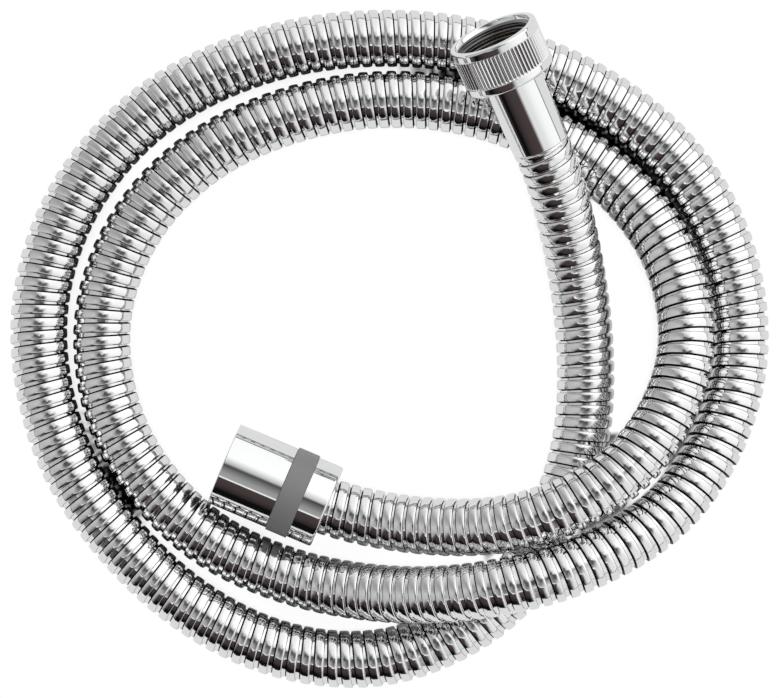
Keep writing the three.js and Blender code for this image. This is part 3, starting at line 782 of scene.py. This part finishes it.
# Two strands face each other across a slit from the first of these cosines to the second, and the slit
# begins between these two distances from the nearer one's middle
FACING = (0.3, 0.7)
SLIT_FROM = (0.0052, 0.0066)
BLACK_GAP, WHITE_GAP = 0.00095, 0.00108
RAISED = (0.012, 0.016)
RAISED_SLIT = 0.9
UNDER_HOSE = 0.6
SHADE_CORE, SHADE_EDGE = 0.0035, 0.0080
LYING_HEIGHT, CLEAR_HEIGHT = 0.008, 0.030


def smooth_rise(value, start, end):
    """0 below the start and 1 above the end, with 3s squared minus 2s cubed between them."""
    s = np.clip((value - start) / (end - start), 0.0, 1.0)
    return s * s * (3 - 2 * s)


def shade_under(distance, height):
    """How much one strand shades the paper at a level distance from its middle: only under it, and
    less the higher it hangs."""
    near_strand = 1.0 - smooth_rise(distance, SHADE_CORE, SHADE_EDGE)
    return UNDER_HOSE * near_strand * (1.0 - smooth_rise(height, LYING_HEIGHT, CLEAR_HEIGHT))


def light_between_strands(places):
    """How light the paper is at each place: 0 in a narrow slit between two strands of the hose that
    lie on the paper, grey in the slit where they hang above it, dim under the hose, and 1
    elsewhere. The slit's width is the sum of the level distances to the two strands, less the
    hose's width."""
    line = hose_line[::LINE_THINNED, :2]
    height = hose_line[::LINE_THINNED, 2]
    reach = int(round(SAME_STRAND / (LINE_THINNED * LINE_STEP)))
    index = np.arange(len(line))
    to_line = line[None] - places[:, None]
    far = np.linalg.norm(to_line, axis=2)
    first = far.argmin(axis=1)
    other = np.where(np.abs(index[None] - first[:, None]) > reach, far, FAR_AWAY)
    second = other.argmin(axis=1)
    each = np.arange(len(places))
    one, two = to_line[each, first], to_line[each, second]
    near, next_near = far[each, first], other[each, second]
    opposite = -(one * two).sum(axis=1) / np.maximum(near * next_near, TINY)
    slit = near + next_near - HOSE_DIAMETER
    lying = 1.0 - (1.0 - RAISED_SLIT) * smooth_rise(np.maximum(height[first], height[second]), *RAISED)
    in_slit = smooth_rise(opposite, *FACING) * (1.0 - smooth_rise(slit, BLACK_GAP, WHITE_GAP))
    in_slit *= lying * smooth_rise(near, *SLIT_FROM)
    open_sky = (1.0 - shade_under(near, height[first])) * (1.0 - shade_under(next_near, height[second]))
    return (1.0 - in_slit) * open_sky


def grid_marks(half, step):
    """Marks a step apart across the shaded part, and the floor's two far edges."""
    inner = np.arange(-half, half + step / 2, step)
    return np.concatenate([[-HALF_FLOOR], inner, [HALF_FLOOR]])


def white_floor():
    """A level grid at height 0, fine under the hose, with its lightness between the strands."""
    across, deep = grid_marks(SHADED_HALF_WIDTH, SHADED_STEP), grid_marks(SHADED_HALF_DEPTH, SHADED_STEP)
    x, y = np.meshgrid(across, deep)
    places = np.stack([x, y], axis=-1)
    light = np.vstack([light_between_strands(row) for row in places])
    number = np.arange(x.size).reshape(x.shape)
    faces = np.stack([number[:-1, :-1], number[:-1, 1:], number[1:, 1:], number[1:, :-1]], axis=-1)
    points = np.concatenate([places, np.zeros((*x.shape, 1))], axis=-1).reshape(-1, 3)
    sheet = mesh_object("floor", points, faces.reshape(-1, 4).tolist())
    sheet.data.attributes.new("light_between", "FLOAT", "POINT").data.foreach_set("value", light.ravel())
    return sheet


# How bright the paper is where the object leaves little or much of it open: (open share, brightness)
SEEN_PAPER = ((0.0, 0.80), (0.03, 1.0))
MIRRORED_PAPER = ((0.12, 0.01), (0.75, 0.78))
PAPER_COLOUR = (0.85, 0.85, 0.85, 1.0)
SHADE_REACH, SHADE_SAMPLES = 0.018, 8


def floor_material():
    """White paper. To the camera it is plain white but for the slits between strands and the places
    that the object covers, and in the chrome it is shaded by how closely the object covers it. All
    other light falls on a white matt surface."""
    material = bpy.data.materials.new("white_sweep")
    material.use_nodes = True
    made, links = material.node_tree.nodes, material.node_tree.links
    made.clear()
    out = made.new("ShaderNodeOutputMaterial")
    matt = made.new("ShaderNodeBsdfDiffuse")
    matt.inputs["Color"].default_value = PAPER_COLOUR
    open_sky = made.new("ShaderNodeAmbientOcclusion")
    open_sky.samples = SHADE_SAMPLES
    open_sky.inputs["Distance"].default_value = SHADE_REACH
    between = made.new("ShaderNodeAttribute")
    between.attribute_name = "light_between"
    glowing = []
    for (dark_at, dark), (light_at, light) in (SEEN_PAPER, MIRRORED_PAPER):
        shade = made.new("ShaderNodeMapRange")
        shade.inputs["From Min"].default_value = dark_at
        shade.inputs["From Max"].default_value = light_at
        shade.inputs["To Min"].default_value = dark
        shade.inputs["To Max"].default_value = light
        links.new(open_sky.outputs["AO"], shade.inputs["Value"])
        lit = made.new("ShaderNodeMath")
        lit.operation = "MULTIPLY"
        links.new(shade.outputs["Result"], lit.inputs[0])
        links.new(between.outputs["Fac"], lit.inputs[1])
        glow = made.new("ShaderNodeEmission")
        links.new(lit.outputs["Value"], glow.inputs["Strength"])
        glowing.append(glow)
    paper, dimmer = glowing
    ray = made.new("ShaderNodeLightPath")
    mirrored = made.new("ShaderNodeMixShader")
    links.new(ray.outputs["Is Glossy Ray"], mirrored.inputs["Fac"])
    links.new(matt.outputs["BSDF"], mirrored.inputs[1])
    links.new(dimmer.outputs["Emission"], mirrored.inputs[2])
    seen = made.new("ShaderNodeMath")
    seen.operation = "MAXIMUM"
    links.new(ray.outputs["Is Camera Ray"], seen.inputs[0])
    links.new(ray.outputs["Is Transmission Ray"], seen.inputs[1])
    pick = made.new("ShaderNodeMixShader")
    links.new(seen.outputs["Value"], pick.inputs["Fac"])
    links.new(mirrored.outputs["Shader"], pick.inputs[1])
    links.new(paper.outputs["Emission"], pick.inputs[2])
    links.new(pick.outputs["Shader"], out.inputs["Surface"])
    return material


floor = white_floor()
floor.data.materials.append(floor_material())

# The tent's brightness from straight overhead (0) down to the horizon (0.5), in eight directions
# that go round from the right by the far side
TENT_SIDES = [
    ((1.0, 0.0), [
        (0.0, 0.08), (0.075, 0.09), (0.12, 0.55), (0.18, 1.05), (0.475, 1.05), (0.492, 0.15),
    ]),
    ((0.7071, 0.7071), [
        (0.0, 0.08), (0.015, 0.12), (0.04, 0.75), (0.14, 1.30), (0.475, 1.25), (0.492, 0.12),
    ]),
    ((0.0, 1.0), [
        (0.0, 0.08), (0.015, 0.12), (0.04, 0.45), (0.14, 0.95), (0.475, 0.90), (0.492, 0.12),
    ]),
    ((-0.7071, 0.7071), [
        (0.0, 0.08), (0.075, 0.09), (0.11, 0.34), (0.30, 0.37), (0.475, 0.42), (0.492, 0.12),
    ]),
    ((-1.0, 0.0), [
        (0.0, 0.08), (0.075, 0.09), (0.12, 0.45), (0.19, 0.60), (0.475, 0.50), (0.492, 0.15),
    ]),
    ((-0.7071, -0.7071), [
        (0.0, 0.08), (0.02, 0.12), (0.12, 0.42), (0.35, 0.45), (0.475, 0.60), (0.492, 0.20),
    ]),
    ((0.0, -1.0), [
        (0.0, 0.08), (0.02, 0.10), (0.10, 0.17), (0.17, 0.30), (0.185, 0.90), (0.5, 0.90),
    ]),
    ((0.7071, -0.7071), [
        (0.0, 0.08), (0.075, 0.09), (0.12, 0.35), (0.22, 0.80), (0.475, 0.85), (0.492, 0.15),
    ]),
]
STRAIGHT_UP, LEAST_LEVEL = 0.99999, 0.0001
# The dark front, by azimuth from the near side (to the left is negative) and by tilt
FRONT_LEFT, FRONT_RIGHT = (-1.12, -0.70), (0.20, 0.60)
FRONT_START = (0.178, 0.184)
FRONT_COLOURS = [
    (0.18, (1.0, 1.0, 1.0)), (0.196, (1.0, 1.0, 1.0)), (0.203, (0.067, 0.050, 0.050)),
    (0.30, (0.055, 0.041, 0.041)), (0.37, (0.028, 0.021, 0.021)), (0.40, (0.005, 0.005, 0.005)),
    (0.5, (0.005, 0.005, 0.005)),
]


def tent_world():
    """The light tent by direction: eight scales of grey from overhead to the horizon. With c the
    cosine of the level angle from a scale's own direction, its share is (2c squared - 1) squared
    up to 45 degrees away and nothing beyond. The camera sees plain white."""
    world = bpy.data.worlds.new("light_tent")
    world.use_nodes = True
    made, links = world.node_tree.nodes, world.node_tree.links
    made.clear()

    def math_node(operation, a, b=None):
        node = made.new("ShaderNodeMath")
        node.operation = operation
        for slot, value in enumerate((a, b)):
            if value is None:
                continue
            if isinstance(value, (int, float)):
                node.inputs[slot].default_value = value
            else:
                links.new(value, node.inputs[slot])
        return node.outputs["Value"]

    def scale_of(stops, place):
        scale = made.new("ShaderNodeValToRGB")
        marks = scale.color_ramp.elements
        for i, (where, colour) in enumerate(stops):
            mark = marks[i] if i < 2 else marks.new(where)
            mark.position = where
            mark.color = (*colour, 1.0) if isinstance(colour, tuple) else (colour, colour, colour, 1.0)
        links.new(place, scale.inputs["Fac"])
        return scale.outputs["Color"]

    def risen(value, start, end):
        rise = made.new("ShaderNodeMapRange")
        rise.interpolation_type = "SMOOTHSTEP"
        rise.inputs["From Min"].default_value = start
        rise.inputs["From Max"].default_value = end
        links.new(value, rise.inputs["Value"])
        return rise.outputs["Result"]

    way = made.new("ShaderNodeTexCoord")
    parts = made.new("ShaderNodeSeparateXYZ")
    links.new(way.outputs["Generated"], parts.inputs["Vector"])
    x, y, z = (parts.outputs[name] for name in "XYZ")
    tilt = math_node("DIVIDE", math_node("ARCCOSINE", math_node("MINIMUM", z, STRAIGHT_UP)), math.pi)
    level = math_node("MAXIMUM", math_node("SUBTRACT", 1.0, math_node("MULTIPLY", z, z)), LEAST_LEVEL)
    across = math_node("SQRT", level)
    total = None
    for (way_x, way_y), stops in TENT_SIDES:
        along = math_node("ADD", math_node("MULTIPLY", x, way_x), math_node("MULTIPLY", y, way_y))
        cosine = math_node("MAXIMUM", math_node("DIVIDE", along, across), 0.0)
        squared = math_node("MULTIPLY", cosine, cosine)
        double = math_node("SUBTRACT", math_node("MULTIPLY", squared, 2.0), 1.0)
        share = math_node("POWER", math_node("MAXIMUM", double, 0.0), 2.0)
        grey = made.new("ShaderNodeRGBToBW")
        links.new(scale_of(stops, tilt), grey.inputs["Color"])
        part = math_node("MULTIPLY", grey.outputs["Val"], share)
        total = part if total is None else math_node("ADD", total, part)
    azimuth = math_node("ARCTAN2", x, math_node("MULTIPLY", y, -1.0))
    from_left = risen(azimuth, *FRONT_LEFT)
    to_right = math_node("SUBTRACT", 1.0, risen(azimuth, *FRONT_RIGHT))
    sector = math_node("MULTIPLY", from_left, to_right)
    front = math_node("MULTIPLY", sector, risen(tilt, *FRONT_START))
    lit = made.new("ShaderNodeCombineColor")
    for channel in ("Red", "Green", "Blue"):
        links.new(total, lit.inputs[channel])
    tent_colour = made.new("ShaderNodeMixRGB")
    links.new(front, tent_colour.inputs["Fac"])
    links.new(lit.outputs["Color"], tent_colour.inputs["Color1"])
    links.new(scale_of(FRONT_COLOURS, tilt), tent_colour.inputs["Color2"])
    tent = made.new("ShaderNodeBackground")
    links.new(tent_colour.outputs["Color"], tent.inputs["Color"])
    plain = made.new("ShaderNodeBackground")
    plain.inputs["Color"].default_value = (1.0, 1.0, 1.0, 1.0)
    ray = made.new("ShaderNodeLightPath")
    pick = made.new("ShaderNodeMixShader")
    links.new(ray.outputs["Is Camera Ray"], pick.inputs["Fac"])
    links.new(tent.outputs["Background"], pick.inputs[1])
    links.new(plain.outputs["Background"], pick.inputs[2])
    out = made.new("ShaderNodeOutputWorld")
    links.new(pick.outputs["Shader"], out.inputs["Surface"])
    return world


bpy.context.scene.world = tent_world()
bpy.context.scene.view_settings.view_transform = "Standard"
